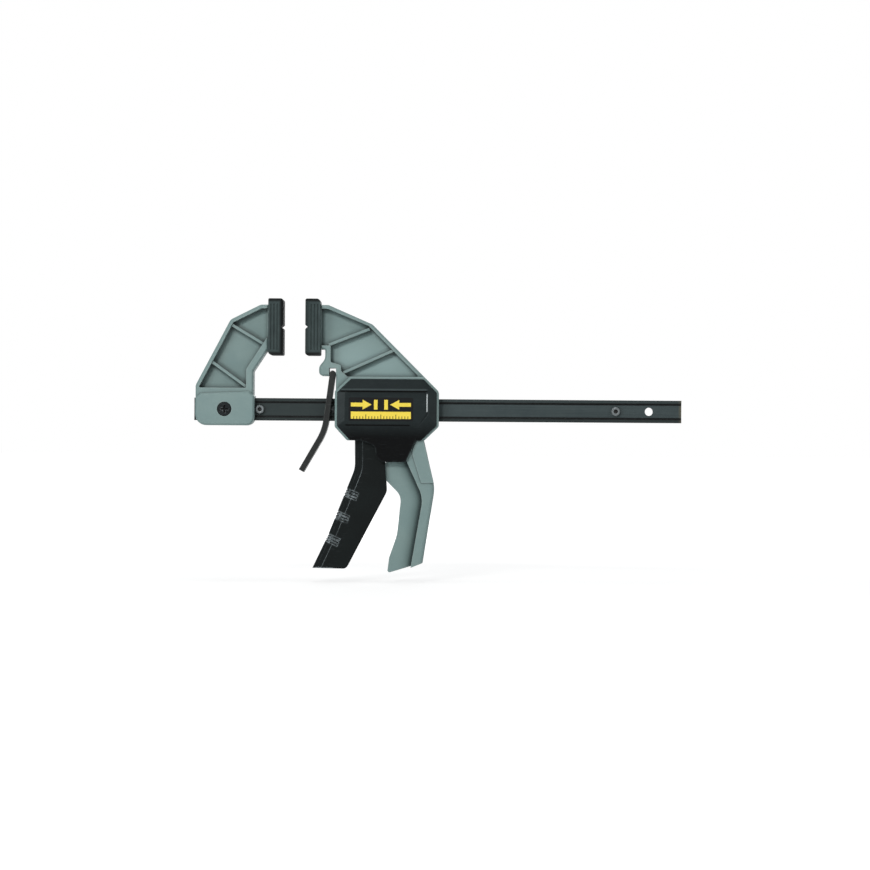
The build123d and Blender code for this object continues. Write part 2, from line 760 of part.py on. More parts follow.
groove_places = [
    groove_start + group * groove_group_pitch + step * groove_pitch
    for group in range(3)
    for step in range(3)
]
with BuildLine(side) as grip:
    FilletPolyline([c[:2] for c in trigger_front], radius=[c[2] for c in trigger_front[1:-1]])
grip_line = grip.wire()


def on_grip(point):
    """Whether a point lies over the grip's front line, seen from the side."""
    return grip_line.distance_to(Vector(point.X, 0, point.Z)) < seat_fit * 10


with BuildPart() as trigger:
    with BuildSketch(side):
        rounded_face(trigger_rear + trigger_front)
    extrude(amount=running_width / 2, both=True)
    for end in (0, -1):
        flank = faces().filter_by(Axis.Y).sort_by(Axis.Y)[end]
        front_edges = [e for e in flank.edges() if on_grip(e.center())]
        chamfer(front_edges, grip_bevel, (running_width - grip_face) / 2, reference=flank)
    with BuildSketch(side):
        rounded_face(channel_outline)
    extrude(amount=blade_width / 2 + blade_play, both=True, mode=Mode.SUBTRACT)
    for distance in groove_places:
        spot = grip_line.position_at(distance, PositionMode.LENGTH)
        down = grip_line.tangent_at(distance, PositionMode.LENGTH)
        with BuildSketch(Plane(spot, x_dir=down.rotate(Axis.Y, -90), z_dir=down)):
            with Locations((groove_reach / 2 - 1, 0)):
                Rectangle(groove_reach + 2, running_width + 2)
            with BuildLine():
                Polyline(*groove_floor, close=True)
            make_face(mode=Mode.SUBTRACT)
        extrude(amount=groove_width / 2, both=True, mode=Mode.SUBTRACT)
    with BuildSketch(side):
        with BuildLine():
            Polyline(*yoke_outline, close=True)
        make_face()
        with Locations((pivot_x, pivot_height)):
            Circle(boss_diameter / 2)
        with Locations((nose_x - nose_diameter / 2, nose_z)):
            Circle(nose_diameter / 2)
    extrude(amount=yoke_width / 2, both=True)
    with BuildSketch(side):
        with BuildLine():
            Polyline(*yoke_slot, close=True)
        make_face()
    extrude(amount=yoke_gap / 2, both=True, mode=Mode.SUBTRACT)
    with BuildSketch(side):
        with Locations((pivot_x, pivot_height)):
            Circle(trigger_pin_diameter / 2 + pin_play)
    extrude(amount=yoke_width, both=True, mode=Mode.SUBTRACT)
finish(trigger, "trigger")

with BuildPart() as trigger_pin:
    with BuildSketch(side):
        with Locations((pivot_x, pivot_height)):
            Circle(trigger_pin_diameter / 2)
    extrude(amount=housing_width / 2 - touch, both=True)
    chamfer(outer_edges(), 0.5)
finish(trigger_pin, "trigger_pin")


# ---- Drive: plates that tilt and bite the bar, and the coil round the bar that returns them
for number in range(plate_count):
    with BuildPart() as drive_plate:
        with BuildSketch(along.offset(plates_x + number * plate_thickness)):
            with Locations((0, (plate_top + plate_bottom) / 2)):
                RectangleRounded(running_width, plate_top - plate_bottom, 3.0)
            Rectangle(bar_thickness + 2 * plate_play, bar_height + 2 * plate_play, mode=Mode.SUBTRACT)
        extrude(amount=plate_thickness)
    finish(drive_plate, f"drive_plate_{number + 1}")


def coil(start, end, y, wire, diameter, turns, name):
    """A compression spring along the bar, its wire six-sided and its turns in short straight runs."""
    length = end - start - wire
    count = turns * runs_per_turn
    with BuildPart() as spring:
        with BuildLine() as path:
            Polyline(*[
                (
                    start + wire / 2 + length * step / count,
                    y + diameter / 2 * cos(2 * pi * step / runs_per_turn),
                    diameter / 2 * sin(2 * pi * step / runs_per_turn) - reach,
                )
                for step in range(count + 1)
            ])
        with BuildSketch(Plane(path.line @ 0, z_dir=path.line % 0)):
            RegularPolygon(wire / 2, 6)
        sweep(path=path.line, transition=Transition.RIGHT)
    finish(spring, name)


coil(plates_end + touch, housing_rear - rear_wall - touch, 0, drive_wire, drive_coil_diameter, drive_turns,
     "drive_spring")


# ---- Brake: a plate that stands tilted on the bar and grips it, held so by two small coils
tilt, bend = radians(lever_tilt), radians(lever_tilt + lever_bend)
lever_corner = (lever_x - lever_upper * sin(tilt), lever_pivot_height - lever_upper * cos(tilt))
lever_end = (lever_corner[0] - lever_lower * sin(bend), lever_corner[1] - lever_lower * cos(bend))
lever_at_bar = lever_x - lever_pivot_height * tan(tilt)
lever_back = lever_at_bar + lever_thickness / 2 / cos(tilt) + brake_coil_diameter * sin(tilt)

with BuildPart() as brake_lever:
    with BuildSketch(side):
        with BuildLine():
            FilletPolyline((lever_x, lever_pivot_height), lever_corner, lever_end, radius=lever_bend_radius)
        trace(line_width=lever_thickness)
        with Locations((lever_x, lever_pivot_height)):
            Circle(lever_thickness / 2)
    extrude(amount=lever_width / 2, both=True)
    slot = Plane((lever_at_bar, 0, -reach), x_dir=(0, 1, 0), z_dir=(cos(tilt), 0, -sin(tilt)))
    with BuildSketch(slot):
        Rectangle(bar_thickness + 2 * slide_play, bar_height + 2 * lever_play)
    extrude(amount=lever_thickness, both=True, mode=Mode.SUBTRACT)
finish(brake_lever, "brake_lever")

for hand, name in ((-1, "brake_spring_right"), (1, "brake_spring_left")):
    coil(
        lever_back,
        housing_front + spring_seat_depth - touch,
        hand * brake_spring_offset,
        brake_wire,
        brake_coil_diameter,
        brake_turns,
        name,
    )
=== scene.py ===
from math import pi, radians, tau

import bmesh
import bpy
from mathutils import Matrix, Vector


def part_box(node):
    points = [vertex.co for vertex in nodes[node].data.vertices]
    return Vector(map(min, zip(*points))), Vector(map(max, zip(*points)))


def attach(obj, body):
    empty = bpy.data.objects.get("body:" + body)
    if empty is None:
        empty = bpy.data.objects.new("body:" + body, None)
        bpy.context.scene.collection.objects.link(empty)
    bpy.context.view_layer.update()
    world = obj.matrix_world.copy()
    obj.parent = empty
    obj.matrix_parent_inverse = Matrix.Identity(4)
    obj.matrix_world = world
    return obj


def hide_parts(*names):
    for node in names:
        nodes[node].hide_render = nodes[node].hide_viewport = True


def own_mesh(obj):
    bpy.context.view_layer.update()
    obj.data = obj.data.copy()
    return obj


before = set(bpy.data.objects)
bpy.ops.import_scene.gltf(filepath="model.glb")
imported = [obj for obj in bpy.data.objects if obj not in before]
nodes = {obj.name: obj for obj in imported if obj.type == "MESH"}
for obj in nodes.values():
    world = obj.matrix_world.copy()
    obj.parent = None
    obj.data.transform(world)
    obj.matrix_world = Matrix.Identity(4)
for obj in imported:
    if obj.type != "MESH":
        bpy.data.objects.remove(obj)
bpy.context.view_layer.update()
mm = 0.001
print("frame loaded:", len(nodes), "nodes")


# small helpers for node trees; a value may be a number, a colour or another node's socket
def tone(red, green, blue):
    # a screen colour, 0 to 255, as the linear values that Blender's sockets take
    channels = [c / 255 for c in (red, green, blue)]
    return (*[c / 12.92 if c <= 0.04045 else ((c + 0.055) / 1.055) ** 2.4 for c in channels], 1.0)


def feed(tree, socket, value):
    if isinstance(value, bpy.types.NodeSocket):
        tree.links.new(value, socket)
    else:
        socket.default_value = value


def addNode(tree, kind, inputs=None, **settings):
    made = tree.nodes.new(kind)
    for name, value in settings.items():
        setattr(made, name, value)
    for name, value in (inputs or {}).items():
        feed(tree, made.inputs[name], value)
    return made


def maths(tree, operation, a, b=0.0, clamp=False):
    return addNode(tree, "ShaderNodeMath", {0: a, 1: b}, operation=operation, use_clamp=clamp).outputs[0]


def times(tree, first, *others, clamp=False):
    # the product of all the values
    for other in others:
        first = maths(tree, "MULTIPLY", first, other, clamp)
    return first


def apart(tree, value, place):
    # how far a value lies from a place, to either side
    return maths(tree, "ABSOLUTE", maths(tree, "SUBTRACT", value, place))


def blendColour(tree, amount, a, b):
    made = addNode(tree, "ShaderNodeMix", data_type="RGBA")
    for place, value in ((0, amount), (6, a), (7, b)):
        feed(tree, made.inputs[place], value)
    return made.outputs[2]


def spread(tree, value, low, high, toLow=0.0, toHigh=1.0):
    # values from low to high become toLow to toHigh, and stop there
    inputs = {0: value, 1: low, 2: high, 3: toLow, 4: toHigh}
    return addNode(tree, "ShaderNodeMapRange", inputs, clamp=True).outputs[0]


def cloud(tree, vector, scale, detail=3.0, roughness=0.55):
    inputs = {"Vector": vector, "Scale": scale, "Detail": detail, "Roughness": roughness}
    return addNode(tree, "ShaderNodeTexNoise", inputs).outputs["Fac"]


def stretched(tree, vector, scale, turn=(0.0, 0.0, 0.0)):
    inputs = {"Vector": vector, "Rotation": turn, "Scale": scale}
    return addNode(tree, "ShaderNodeMapping", inputs).outputs[0]


def split(tree, vector):
    return addNode(tree, "ShaderNodeSeparateXYZ", {0: vector}).outputs


def bump(tree, height, normal, look):
    inputs = {"Height": height, "Normal": normal,
              "Strength": look["bumpStrength"], "Distance": look["bumpDepth"]}
    return addNode(tree, "ShaderNodeBump", inputs).outputs[0]


def newGroup(name, inputs, outputs):
    group = bpy.data.node_groups.new(name, "ShaderNodeTree")
    for label, kind, value in inputs:
        made = group.interface.new_socket(name=label, in_out="INPUT", socket_type=kind)
        if value is not None:
            made.default_value = value
    for label, kind in outputs:
        group.interface.new_socket(name=label, in_out="OUTPUT", socket_type=kind)
    return group, group.nodes.new("NodeGroupInput"), group.nodes.new("NodeGroupOutput")


def placeGroup(tree, group, inputs):
    made = tree.nodes.new("ShaderNodeGroup")
    made.node_tree = group
    for name, value in inputs.items():
        feed(tree, made.inputs[name], value)
    return made.outputs


# shared effects, each a node group that the materials place with their own values
edgeShape = {
    "samples": 6, "cornerStart": 0.92, "cornerFull": 0.45, "hollowRange": (0.95, 0.35),
    "patchRange": (0.38, 0.66), "patchNoise": (4.0, 0.65),
}


def makeEdgeGroup():
    # rounded edge normals and how far they turn, with masks of the outer corners, for wear and painted
    # highlights, and of the hollows, for painted shade
    group, start, end = newGroup(
        "edgeWearHighlightShade",
        [("Vector", "NodeSocketVector", None), ("Radius", "NodeSocketFloat", 0.0004),
         ("Reach", "NodeSocketFloat", 0.0012), ("Depth", "NodeSocketFloat", 0.006),
         ("Full At", "NodeSocketFloat", edgeShape["cornerFull"]), ("Break Up", "NodeSocketFloat", 260.0)],
        [("Normal", "NodeSocketVector"), ("Corner", "NodeSocketFloat"), ("Hollow", "NodeSocketFloat"),
         ("Turn", "NodeSocketFloat")],
    )
    given, samples = start.outputs, edgeShape["samples"]
    bevel = addNode(group, "ShaderNodeBevel", {"Radius": given["Radius"]}, samples=samples)
    inner = addNode(group, "ShaderNodeAmbientOcclusion", {"Distance": given["Reach"]},
                    samples=samples, inside=True, only_local=True)
    outer = addNode(group, "ShaderNodeAmbientOcclusion", {"Distance": given["Depth"]},
                    samples=samples, only_local=True)
    patches = cloud(group, given["Vector"], given["Break Up"], *edgeShape["patchNoise"])
    corner = spread(group, inner.outputs["AO"], edgeShape["cornerStart"], given["Full At"])
    corner = times(group, corner, spread(group, patches, *edgeShape["patchRange"]), clamp=True)
    hollow = spread(group, outer.outputs["AO"], *edgeShape["hollowRange"])
    flat = addNode(group, "ShaderNodeNewGeometry").outputs["Normal"]
    facing = addNode(group, "ShaderNodeVectorMath", {0: bevel.outputs[0], 1: flat}, operation="DOT_PRODUCT")
    turn = maths(group, "SUBTRACT", 1.0, facing.outputs["Value"])
    made = {"Normal": bevel.outputs[0], "Corner": corner, "Hollow": hollow, "Turn": turn}
    for label, value in made.items():
        group.links.new(value, end.inputs[label])
    return group


# each noise is its detail and roughness
grainShape = {
    "fineNoise": (2.0, 0.6), "pitDepth": 0.5, "patchNoise": (5.0, 0.6),
    "speckScale": 0.45, "speckNoise": (2.0, 0.7), "speckRange": (0.66, 0.74),
}


def makeGrainGroup():
    # the fine sparked texture of a moulding tool, with broad uneven patches
    group, start, end = newGroup(
        "mouldedGrain",
        [("Vector", "NodeSocketVector", None), ("Grain", "NodeSocketFloat", 2200.0),
         ("Patch", "NodeSocketFloat", 55.0)],
        [("Height", "NodeSocketFloat"), ("Patches", "NodeSocketFloat"), ("Specks", "NodeSocketFloat")],
    )
    vector, scale = start.outputs["Vector"], start.outputs["Grain"]
    fine = cloud(group, vector, scale, *grainShape["fineNoise"])
    pits = addNode(group, "ShaderNodeTexVoronoi", {"Vector": vector, "Scale": scale}).outputs["Distance"]
    height = maths(group, "ADD", fine, times(group, pits, grainShape["pitDepth"]))
    patches = cloud(group, vector, start.outputs["Patch"], *grainShape["patchNoise"])
    specks = cloud(group, vector, times(group, scale, grainShape["speckScale"]), *grainShape["speckNoise"])
    specks = spread(group, specks, *grainShape["speckRange"])
    made = {"Height": height, "Patches": patches, "Specks": specks}
    for label, value in made.items():
        group.links.new(value, end.inputs[label])
    return group


scratchShape = {
    "lean": 0.3, "strokes": ((0.5, 34.0), (2.1, 41.0), (1.3, 27.0)), "strokeNoise": (1.0, 0.4),
    "strokeRange": (0.70, 0.76), "rubbedScale": 0.6, "rubbedNoise": (6.0, 0.7), "rubbedRange": (0.50, 0.72),
}


def makeScratchGroup():
    # short hairline scratches that cross each other, and rubbed areas
    group, start, end = newGroup(
        "handlingMarks",
        [("Vector", "NodeSocketVector", None), ("Scale", "NodeSocketFloat", 90.0),
         ("Amount", "NodeSocketFloat", 0.5)],
        [("Scratches", "NodeSocketFloat"), ("Rubbed", "NodeSocketFloat")],
    )
    vector, scale, amount = start.outputs["Vector"], start.outputs["Scale"], start.outputs["Amount"]
    total = None
    for turn, across in scratchShape["strokes"]:
        lines = stretched(group, vector, (1.0, across, across), (scratchShape["lean"], turn, turn))
        mark = cloud(group, lines, scale, *scratchShape["strokeNoise"])
        mark = spread(group, mark, *scratchShape["strokeRange"])
        total = mark if total is None else maths(group, "MAXIMUM", total, mark)
    rubbedScale = times(group, scale, scratchShape["rubbedScale"])
    rubbed = cloud(group, vector, rubbedScale, *scratchShape["rubbedNoise"])
    rubbed = spread(group, rubbed, *scratchShape["rubbedRange"])
    group.links.new(times(group, total, amount, clamp=True), end.inputs["Scratches"])
    group.links.new(times(group, rubbed, amount, clamp=True), end.inputs["Rubbed"])
    return group


edgeWearHighlightShade = makeEdgeGroup()
mouldedGrain = makeGrainGroup()
handlingMarks = makeScratchGroup()
print("shared effects made")


def newMaterial(name):
    made = bpy.data.materials.new(name)
    made.use_nodes = True
    shader = made.node_tree.nodes["Principled BSDF"]
    vector = addNode(made.node_tree, "ShaderNodeTexCoord").outputs["Object"]
    return made, made.node_tree, shader, vector


def edgeOf(tree, vector, look):
    inputs = {"Vector": vector, "Radius": look["edgeRadius"], "Reach": look["edgeReach"],
              "Depth": look["hollowReach"], "Full At": look.get("cornerFull", edgeShape["cornerFull"])}
    return placeGroup(tree, edgeWearHighlightShade, inputs)


def grainOf(tree, vector, look):
    inputs = {"Vector": vector, "Grain": look["grainScale"], "Patch": look["patchScale"]}
    return placeGroup(tree, mouldedGrain, inputs)


def marksOf(tree, vector, look):
    inputs = {"Vector": vector, "Scale": look["markScale"], "Amount": look["markAmount"]}
    return placeGroup(tree, handlingMarks, inputs)


# painted shade: hollows and corners between faces are darkened where shade falls
def paintHollowShade(tree, edge, colour, look):
    dark = times(tree, edge["Hollow"], look["hollowShadeAmount"])
    return blendColour(tree, dark, colour, look["hollowShadeColour"])


# the light outer corners are part wear and part painted highlight, with the scratches
def wearAndHighlightPlaces(tree, edge, marks, look):
    corners = times(tree, edge["Corner"], look["cornerAmount"])
    return maths(tree, "MAXIMUM", corners, times(tree, marks["Scratches"], look["scratchAmount"]))


# where single pieces are worn or carry painted light and shade; heights and lengths are metres on the shared
# axes
def paintPadShade(tree, place, colour, look):
    # painted shade: the strips of each pad that meet the work and end it, darkened where their rounded edges
    # fall into shade
    middle, near, far = look["faceRange"]
    darkened = times(tree, spread(tree, apart(tree, place[0], middle), far, near),
                spread(tree, place[0], *look["faceFade"]))
    ends = spread(tree, apart(tree, place[2], look["padMiddle"]), *look["padEnd"])
    return blendColour(tree, maths(tree, "MAXIMUM", darkened, ends), colour, look["padShadeColour"])


def paintWebLightBladeShade(tree, place, colour, look):
    # painted light: the moving arm's web is paler low down; painted shade: the handle's blade is darker where
    # its sides fall away
    across = maths(tree, "ABSOLUTE", place[1])
    normal = addNode(tree, "ShaderNodeTexCoord").outputs["Normal"]
    sideways = spread(tree, maths(tree, "ABSOLUTE", split(tree, normal)[1]), *look["sideFacing"])
    web = times(tree, spread(tree, across, *look["webDepth"]), spread(tree, place[2], *look["webHeight"]),
                spread(tree, place[0], *look["webStart"]), sideways)
    colour = blendColour(tree, web, colour, look["webPaintedLightColour"])
    fall = times(tree, spread(tree, across, *look["fallDepth"]), spread(tree, place[2], *look["fallHeight"]),
                 sideways)
    return blendColour(tree, fall, colour, look["hollowShadeColour"])


def triggerWearAndPaintedLight(tree, place, edge, grain, colour, wearAndHighlight, look):
    # worn and painted highlight along the trigger's front, with a painted highlight line on the bevel's edge,
    # and painted shade along its back corners
    lean, far, near = look["frontWearAndHighlight"]
    front = spread(tree, maths(tree, "SUBTRACT", place[0], times(tree, place[2], lean)), far, near)
    # painted shade on the back corners
    back = times(tree, edge["Corner"], maths(tree, "SUBTRACT", 1.0, front))
    colour = blendColour(tree, back, colour, look["hollowShadeColour"])
    turn = edge["Turn"]
    # a painted highlight line along the bevel's edge
    ridge = times(tree, spread(tree, turn, *look["ridgeRise"]), spread(tree, turn, *look["ridgeEnd"]),
                  spread(tree, grain["Patches"], *look["ridgePatches"]),
                  spread(tree, place[2], *look["ridgeTop"]))
    return colour, times(tree, maths(tree, "MAXIMUM", wearAndHighlight, ridge), front)


panelShadowShape = {
    "fadeOut": 0.0015, "gleamAbove": 0.0013, "gleamWidth": (0.0009, 0.0004), "lineWidth": (0.0007, 0.0004),
}


def paintPanelShadow(tree, place, colour, panelShadow, look):
    # a painted shadow line along a step of the label panel, under a painted highlight on its upper edge, on
    # the camera's side alone
    height, start, end, lit = panelShadow
    fade = panelShadowShape["fadeOut"]
    near = times(tree, spread(tree, place[0], start, start + fade), spread(tree, place[0], end + fade, end),
                 maths(tree, "LESS_THAN", place[1], 0.0))
    above = height + panelShadowShape["gleamAbove"]
    gleam = spread(tree, apart(tree, place[2], above), *panelShadowShape["gleamWidth"])
    colour = blendColour(tree, times(tree, near, lit, gleam), colour, look["wearAndHighlightColour"])
    line = spread(tree, apart(tree, place[2], height), *panelShadowShape["lineWidth"])
    return blendColour(tree, times(tree, near, line), colour, look["hollowShadeColour"])


# moulded plastics and rubber
mouldedShare = {
    "patchRange": (0.35, 0.65), "glossRange": (0.3, 0.7), "scratchRoughness": 0.12, "scratchDepth": 0.8,
}


def plastic(name, look):
    made, tree, shader, vector = newMaterial(name)
    place = split(tree, vector)
    edge = edgeOf(tree, vector, look)
    grain = grainOf(tree, vector, look)
    marks = marksOf(tree, vector, look)
    patches = spread(tree, grain["Patches"], *mouldedShare["patchRange"])
    colour = blendColour(tree, patches, look["colour"], look["patchColour"])
    colour = blendColour(tree, times(tree, grain["Specks"], look["speckAmount"]), colour, look["speckColour"])
    # painted shade: darker low down, on the cover's tab
    if "lowShadeColour" in look:
        colour = blendColour(tree, spread(tree, place[2], *look["lowShadeRange"]), colour, look["lowShadeColour"])
    # painted shade on the pads' strips and ends
    if "padShadeColour" in look:
        colour = paintPadShade(tree, place, colour, look)
    # painted light on the lower web and painted shade on the blade
    if "webPaintedLightColour" in look:
        colour = paintWebLightBladeShade(tree, place, colour, look)
    # painted shade in the hollows
    colour = paintHollowShade(tree, edge, colour, look)
    wearAndHighlight = wearAndHighlightPlaces(tree, edge, marks, look)
    if "frontWearAndHighlight" in look:
        colour, wearAndHighlight = triggerWearAndPaintedLight(tree, place, edge, grain, colour, wearAndHighlight, look)
    # light corners and scratches, part wear and part painted highlight
    colour = blendColour(tree, wearAndHighlight, colour, look["wearAndHighlightColour"])
    # painted shadow lines along the panel's steps, each under a painted highlight
    for panelShadow in look.get("panelShadows", ()):
        colour = paintPanelShadow(tree, place, colour, panelShadow, look)
    feed(tree, shader.inputs["Base Color"], colour)
    shader.inputs["Specular IOR Level"].default_value = look["specular"]
    rough = spread(tree, grain["Patches"], *mouldedShare["glossRange"], *look["roughness"])
    rough = maths(tree, "ADD", rough, times(tree, marks["Rubbed"], look["rubbedRoughness"]))
    scratched = times(tree, marks["Scratches"], mouldedShare["scratchRoughness"])
    feed(tree, shader.inputs["Roughness"], maths(tree, "ADD", rough, scratched, clamp=True))
    cut = times(tree, marks["Scratches"], mouldedShare["scratchDepth"])
    height = maths(tree, "SUBTRACT", grain["Height"], cut)
    feed(tree, shader.inputs["Normal"], bump(tree, height, edge["Normal"], look))
    return made


mouldingLook = {
    "colour": tone(118, 138, 136), "patchColour": tone(113, 134, 133),
    "speckColour": tone(150, 162, 160), "speckAmount": 0.25,
    # painted light on the moving arm's lower web, and painted shade on the handle's blade where its sides
    # fall away
    "sideFacing": (0.6, 0.8), "webPaintedLightColour": tone(136, 158, 157), "webDepth": (0.0045, 0.0025),
    "webHeight": (0.000, -0.024), "webStart": (0.030, 0.036),
    "fallDepth": (0.0079, 0.0060, 0.0, 0.40), "fallHeight": (-0.100, -0.104),
    # painted shade: dark lines in the pockets' corners and under the rims
    "hollowShadeColour": tone(22, 30, 31), "hollowShadeAmount": 0.82, "hollowReach": 0.0040,
    # the light corner colour is part wear and part painted highlight on the rims and the spine's edge
    "wearAndHighlightColour": tone(164, 174, 170), "cornerAmount": 0.5, "scratchAmount": 0.2,
    "roughness": (0.44, 0.54), "rubbedRoughness": -0.08, "specular": 0.35,
    "edgeRadius": 0.0005, "edgeReach": 0.0011, "grainScale": 1900.0, "patchScale": 48.0,
    "markScale": 95.0, "markAmount": 0.5, "bumpStrength": 0.35, "bumpDepth": 0.00006,
}
# each painted shadow line along the panel is its height, where it starts and ends, and how strong the painted
# highlight on its upper edge is
coverLook = {
    "colour": tone(38, 44, 45), "patchColour": tone(33, 39, 40),
    "speckColour": tone(60, 66, 67), "speckAmount": 0.2,
    # painted shade on the cover's lower part, the tab
    "lowShadeColour": tone(10, 11, 12), "lowShadeRange": (-0.0735, -0.0860),
    "panelShadows": ((-0.0498, 0.0440, 0.1115, 0.4), (-0.0761, 0.0480, 0.0980, 0.0)),
    "hollowShadeColour": tone(4, 5, 5), "hollowShadeAmount": 0.9, "hollowReach": 0.0025,
    # the light colour of the corners, part wear, also paints the highlight above the panel's shadow lines
    "wearAndHighlightColour": tone(84, 94, 95), "cornerAmount": 0.5, "scratchAmount": 0.2,
    "roughness": (0.21, 0.29), "rubbedRoughness": -0.04, "specular": 0.055,
    "edgeRadius": 0.0005, "edgeReach": 0.0011, "grainScale": 2300.0, "patchScale": 60.0,
    "markScale": 105.0, "markAmount": 0.5, "bumpStrength": 0.3, "bumpDepth": 0.00005,
}
triggerLook = {
    "colour": tone(22, 26, 26), "patchColour": tone(18, 21, 21),
    "speckColour": tone(46, 51, 51), "speckAmount": 0.25,
    "hollowShadeColour": tone(4, 5, 5), "hollowShadeAmount": 0.8, "hollowReach": 0.0025,
    # the light corner colour and the ridge are painted highlights along the trigger's front edges, worn in
    # part; the back corners get painted shade
    "wearAndHighlightColour": tone(168, 177, 181), "cornerAmount": 1.0, "cornerFull": 0.52, "scratchAmount": 0.12,
    "frontWearAndHighlight": (0.331, 0.1050, 0.1010), "ridgeRise": (0.003, 0.012, 0.0, 0.62), "ridgeEnd": (0.10, 0.06),
    "ridgePatches": (0.40, 0.58, 0.35, 1.0), "ridgeTop": (-0.098, -0.112, 0.3, 1.0),
    "roughness": (0.36, 0.48), "rubbedRoughness": -0.10, "specular": 0.055,
    "edgeRadius": 0.0005, "edgeReach": 0.0012, "grainScale": 1700.0, "patchScale": 52.0,
    "markScale": 100.0, "markAmount": 0.5, "bumpStrength": 0.4, "bumpDepth": 0.00007,
}
rubberLook = {
    "colour": tone(60, 71, 71), "patchColour": tone(52, 62, 62),
    "speckColour": tone(82, 92, 92), "speckAmount": 0.3,
    # painted shade on the pads' gripping strips and ends
    "padShadeColour": tone(12, 14, 14), "faceRange": (0.0085, 0.0100, 0.0125),
    "faceFade": (0.0105, 0.0080, 0.45, 1.0),
    "padMiddle": 0.0, "padEnd": (0.0190, 0.0206, 0.0, 1.0),
    "hollowShadeColour": tone(12, 15, 15), "hollowShadeAmount": 0.8, "hollowReach": 0.003,
    "wearAndHighlightColour": tone(92, 102, 102), "cornerAmount": 0.4, "scratchAmount": 0.15,
    "roughness": (0.60, 0.74), "rubbedRoughness": -0.10, "specular": 0.12,
    "edgeRadius": 0.0007, "edgeReach": 0.0014, "grainScale": 1400.0, "patchScale": 75.0,
    "markScale": 120.0, "markAmount": 0.4, "bumpStrength": 0.5, "bumpDepth": 0.00010,
}
moulding = plastic("greyMoulding", mouldingLook)
coverPlastic = plastic("coverPlastic", coverLook)
triggerPlastic = plastic("triggerPlastic", triggerLook)
padRubber = plastic("padRubber", rubberLook)
print("plastics and rubber made")


# steels
def barTintsAndShade(tree, vector, patches, colour, look):
    # darker towards the fixed jaw, the raised edges painted darker as shade, the lower one more, a rusty sawn
    # end, and painted shadow lines along the shoulders
    place = split(tree, vector)
    height = apart(tree, place[2], look["axisHeight"])
    low, high, soft = look["shoulder"]
    darkened = times(tree, spread(tree, place[0], *look["barDarkRange"]), look["barDarkAmount"])
    colour = blendColour(tree, darkened, colour, look["barDarkColour"])
    # painted shade on the raised edges, fully on the lower one
    rail = times(tree, spread(tree, height, low, high), spread(tree, place[2], *look["railAmount"]))
    colour = blendColour(tree, rail, colour, look["barDarkColour"])
    sawn = times(tree, spread(tree, place[0], *look["sawnRange"]),
                 spread(tree, patches, *look["sawnPatches"]))
    colour = blendColour(tree, sawn, colour, look["sawnColour"])
    # painted shadow lines along the shoulders
    line = times(tree, spread(tree, height, low - soft, low), spread(tree, height, high + soft, high))
    return blendColour(tree, line, colour, look["hollowShadeColour"])


steelShare = {
    "brushNoise": (1.0, 4.0, 0.6), "brushRange": (0.3, 0.75),
    "patchNoise": (5.0, 0.65), "patchRange": (0.35, 0.65),
    "glossRange": (0.25, 0.75), "rubbedRoughness": -0.08, "scratchDepth": 0.6,
}


def steel(name, look):
    made, tree, shader, vector = newMaterial(name)
    edge = edgeOf(tree, vector, look)
    marks = marksOf(tree, vector, look)
    brushed = cloud(tree, stretched(tree, vector, look["brushing"]), *steelShare["brushNoise"])
    patches = cloud(tree, vector, look["patchScale"], *steelShare["patchNoise"])
    uneven = spread(tree, patches, *steelShare["patchRange"])
    colour = blendColour(tree, uneven, look["colour"], look["patchColour"])
    strokes = times(tree, spread(tree, brushed, *steelShare["brushRange"]), look["brushAmount"])
    colour = blendColour(tree, strokes, colour, look["brushColour"])
    if "shoulder" in look:
        colour = barTintsAndShade(tree, vector, patches, colour, look)
    # painted shade in the hollows
    colour = paintHollowShade(tree, edge, colour, look)
    bare = wearAndHighlightPlaces(tree, edge, marks, look)
    feed(tree, shader.inputs["Base Color"], blendColour(tree, bare, colour, look["bareColour"]))
    shader.inputs["Specular IOR Level"].default_value = look["specular"]
    metal = maths(tree, "ADD", times(tree, bare, 1 - look["metal"]), look["metal"], clamp=True)
    feed(tree, shader.inputs["Metallic"], metal)
    rough = spread(tree, brushed, *steelShare["glossRange"], *look["roughness"])
    rubbed = times(tree, marks["Rubbed"], steelShare["rubbedRoughness"])
    feed(tree, shader.inputs["Roughness"], maths(tree, "ADD", rough, rubbed, clamp=True))
    height = maths(tree, "SUBTRACT", brushed, times(tree, marks["Scratches"], steelShare["scratchDepth"]))
    feed(tree, shader.inputs["Normal"], bump(tree, height, edge["Normal"], look))
    return made


barLook = {
    "colour": tone(57, 66, 67), "patchColour": tone(49, 58, 60),
    "brushColour": tone(74, 84, 85), "brushAmount": 0.4,
    "axisHeight": -0.0642, "shoulder": (0.0050, 0.0063, 0.0004),
    "barDarkRange": (0.048, 0.036), "barDarkColour": tone(38, 45, 45), "barDarkAmount": 0.75,
    # painted shade on the raised edges
    "railAmount": (-0.0641, -0.0643, 0.5, 1.0),
    "sawnRange": (0.3080, 0.3100), "sawnPatches": (0.3, 0.6), "sawnColour": tone(94, 88, 72),
    "hollowShadeColour": tone(4, 6, 6), "hollowShadeAmount": 1.0, "hollowReach": 0.0018, "bareColour": tone(92, 98, 98),
    "cornerAmount": 0.12, "scratchAmount": 0.2, "metal": 0.1, "specular": 0.12, "roughness": (0.38, 0.54),
    "edgeRadius": 0.0004, "edgeReach": 0.0009, "brushing": (14.0, 900.0, 900.0), "patchScale": 36.0,
    "markScale": 80.0, "markAmount": 0.6, "bumpStrength": 0.25, "bumpDepth": 0.00005,
}
